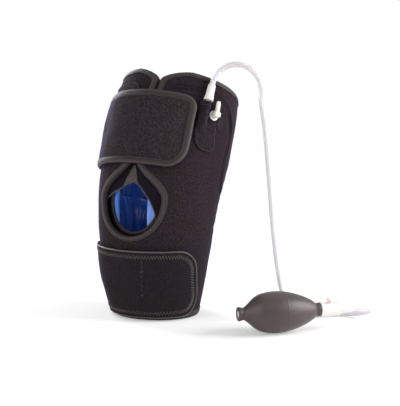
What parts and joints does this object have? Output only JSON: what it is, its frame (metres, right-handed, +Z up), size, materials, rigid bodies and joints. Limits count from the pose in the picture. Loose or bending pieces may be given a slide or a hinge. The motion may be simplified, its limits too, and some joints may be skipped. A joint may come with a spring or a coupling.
{
  "type": "cold compression knee wrap with hand pump",
  "caption": "Tubular padded knee wrap with front kneecap opening, two hook closure straps, cold gel packs, air bladder, port pocket and a rubber squeeze bulb on a hose.",
  "frame": {"origin": "middle of the underside of the whole object without the hose and its cuff, on the surface it stands on", "axes": "+Z up along the standing wrap, -Y the side with the kneecap opening and the straps' free ends, +X towards the ports and the pump"},
  "size_m": [0.3596, 0.2054, 0.3247],
  "materials": {
    "foam_fabric": "matt laminated foam fabric",
    "binding_tape": "soft woven stretch tape",
    "hook_tape": "hook tape",
    "lining_fabric": "brushed lining",
    "bladder_film": "welded film",
    "gel_film": "glossy film over gel",
    "white_plastic": "moulded",
    "hose_plastic": "translucent extruded",
    "bulb_rubber": "moulded satin",
    "seal_rubber": "moulded",
    "steel": "polished"
  },
  "bodies": {
    "wrap": {"outer_shell": "foam_fabric", "opening_binding": "binding_tape", "bottom_binding": "binding_tape", "air_bladder": "bladder_film", "inner_lining": "lining_fabric", "gel_pack_outer_side": "gel_film", "gel_pack_inner_side": "gel_film", "upper_strap_anchor": "foam_fabric", "lower_strap_anchor": "foam_fabric", "loop_panel": "foam_fabric", "valve_pocket": "foam_fabric", "inlet_tube": "white_plastic", "inlet_flange": "white_plastic", "outlet_flange": "white_plastic"},
    "upper_strap": {"upper_strap_panel": "foam_fabric", "upper_strap_binding": "binding_tape", "upper_strap_hook": "hook_tape"},
    "lower_strap": {"lower_strap_panel": "foam_fabric", "lower_strap_hook": "hook_tape"},
    "elbow": {"port_elbow": "white_plastic"},
    "pump": {"pump_bulb": "bulb_rubber", "intake_valve_seat": "white_plastic", "release_valve_body": "white_plastic", "release_spring": "steel", "hose_ferrule": "white_plastic", "hose": "hose_plastic", "hose_cuff": "white_plastic", "cuff_seal": "seal_rubber"},
    "release_button": {"release_button": "white_plastic"},
    "intake_disc": {"intake_valve_disc": "seal_rubber"},
    "check_ball": {"check_valve_ball": "steel"}
  },
  "joints": [
    {"name": "upper_strap_open", "type": "hinge", "parent": "wrap", "child": "upper_strap", "pos_m": [-0.16976, -0.02432, 0.22551], "axis": [0.0436, -0.4151, -0.9087], "range_deg": [0, 100]},
    {"name": "lower_strap_open", "type": "hinge", "parent": "wrap", "child": "lower_strap", "pos_m": [-0.15426, -0.05076, 0.0477], "axis": [0.1959, 0.0559, -0.979], "range_deg": [0, 100]},
    {"name": "port_elbow_swivel", "type": "hinge", "parent": "wrap", "child": "elbow", "pos_m": [-0.01068, -0.01641, 0.2566], "axis": [0.8905, -0.3829, 0.2458], "range_deg": [-120, 20]},
    {"name": "pump_unplug", "type": "slide", "parent": "wrap", "child": "pump", "axis": [-0.0229, 0.4955, 0.8683], "range_m": [0, 0.012]},
    {"name": "release_button_press", "type": "slide", "parent": "pump", "child": "release_button", "axis": [0, 0, -1], "range_m": [0, 0.002], "stiffness_N_per_m": 300, "springref_m": -0.0005, "deforming": ["release_spring"]},
    {"name": "intake_disc_lift", "type": "slide", "parent": "pump", "child": "intake_disc", "axis": [0.7071, 0.7071, 0], "range_m": [0, 0.0022]},
    {"name": "check_ball_lift", "type": "slide", "parent": "pump", "child": "check_ball", "axis": [0.7071, 0.7071, 0], "range_m": [0, 0.003]}
  ]
}
